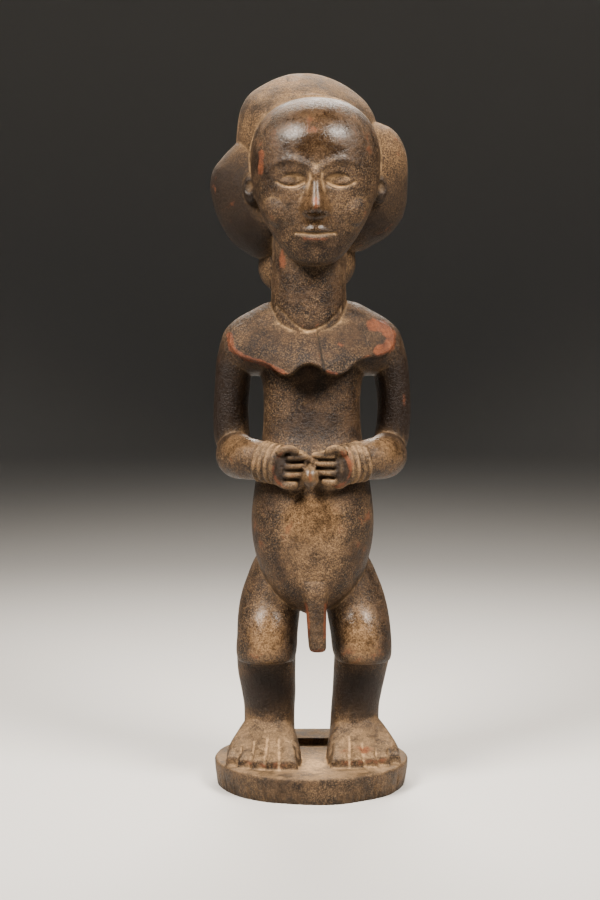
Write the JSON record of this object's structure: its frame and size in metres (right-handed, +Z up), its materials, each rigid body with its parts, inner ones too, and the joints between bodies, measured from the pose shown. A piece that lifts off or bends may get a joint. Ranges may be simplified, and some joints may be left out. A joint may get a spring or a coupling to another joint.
{
  "type": "ancestor figure",
  "caption": "Standing male ancestor figure carved in one piece with its round plinth: hands at the navel, bent knees, lobed coiffure.",
  "frame": {"origin": "centre of the plinth's round underside", "axes": "+Z up along the figure; the figure faces -Y, so +X is on the right of someone who looks at its face"},
  "size_m": [0.1692, 0.1664, 0.5996],
  "materials": {
    "carved_wood": "dark brown-black patina, polished by handling on the forehead, shoulders and thighs, dusty tan in the hollows and on the coiffure and feet, worn to bare red-brown wood on raised edges"
  },
  "bodies": {
    "root": {"ancestor_figure": "carved_wood"}
  },
  "joints": []
}
